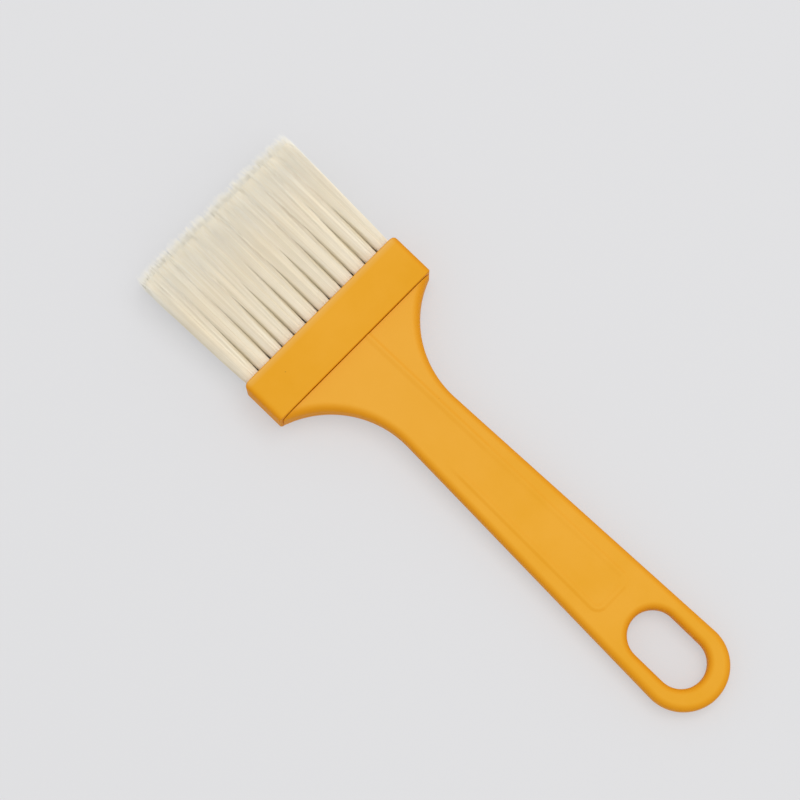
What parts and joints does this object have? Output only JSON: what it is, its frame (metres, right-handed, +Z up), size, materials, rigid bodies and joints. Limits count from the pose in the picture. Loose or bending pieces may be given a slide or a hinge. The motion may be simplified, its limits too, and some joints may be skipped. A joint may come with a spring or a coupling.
{
  "type": "pastry brush",
  "caption": "Flat pastry brush: soft cream bristle tufts set in a straight plastic head, on a flared plastic handle with a hanging slot at its end.",
  "frame": {"origin": "under the middle of the brush's length and width, level with the underside of the tuft block", "axes": "+X along the brush from the bristle tips to the hanging end, +Y across the brush, +Z up through its thickness"},
  "size_m": [0.145, 0.0438, 0.01],
  "materials": {
    "handle_plastic": "satin amber moulded plastic with a fine moulded grain",
    "block_plastic": "satin amber moulded plastic with a fine moulded grain",
    "bristle": "soft cream bristle, slightly darker at the roots",
    "anchor_wire": "drawn flat wire"
  },
  "bodies": {
    "root": {"handle": "handle_plastic", "tuft_block": "block_plastic", "tuft_upper_01": "bristle", "tuft_upper_02": "bristle", "tuft_upper_03": "bristle", "tuft_upper_04": "bristle", "tuft_upper_05": "bristle", "tuft_upper_06": "bristle", "tuft_upper_07": "bristle", "tuft_upper_08": "bristle", "tuft_upper_09": "bristle", "tuft_upper_10": "bristle", "tuft_upper_11": "bristle", "tuft_upper_12": "bristle", "tuft_lower_01": "bristle", "tuft_lower_02": "bristle", "tuft_lower_03": "bristle", "tuft_lower_04": "bristle", "tuft_lower_05": "bristle", "tuft_lower_06": "bristle", "tuft_lower_07": "bristle", "tuft_lower_08": "bristle", "tuft_lower_09": "bristle", "tuft_lower_10": "bristle", "tuft_lower_11": "bristle", "tuft_lower_12": "bristle", "anchor_upper_01": "anchor_wire", "anchor_upper_02": "anchor_wire", "anchor_upper_03": "anchor_wire", "anchor_upper_04": "anchor_wire", "anchor_upper_05": "anchor_wire", "anchor_upper_06": "anchor_wire", "anchor_upper_07": "anchor_wire", "anchor_upper_08": "anchor_wire", "anchor_upper_09": "anchor_wire", "anchor_upper_10": "anchor_wire", "anchor_upper_11": "anchor_wire", "anchor_upper_12": "anchor_wire", "anchor_lower_01": "anchor_wire", "anchor_lower_02": "anchor_wire", "anchor_lower_03": "anchor_wire", "anchor_lower_04": "anchor_wire", "anchor_lower_05": "anchor_wire", "anchor_lower_06": "anchor_wire", "anchor_lower_07": "anchor_wire", "anchor_lower_08": "anchor_wire", "anchor_lower_09": "anchor_wire", "anchor_lower_10": "anchor_wire", "anchor_lower_11": "anchor_wire", "anchor_lower_12": "anchor_wire"}
  },
  "joints": []
}
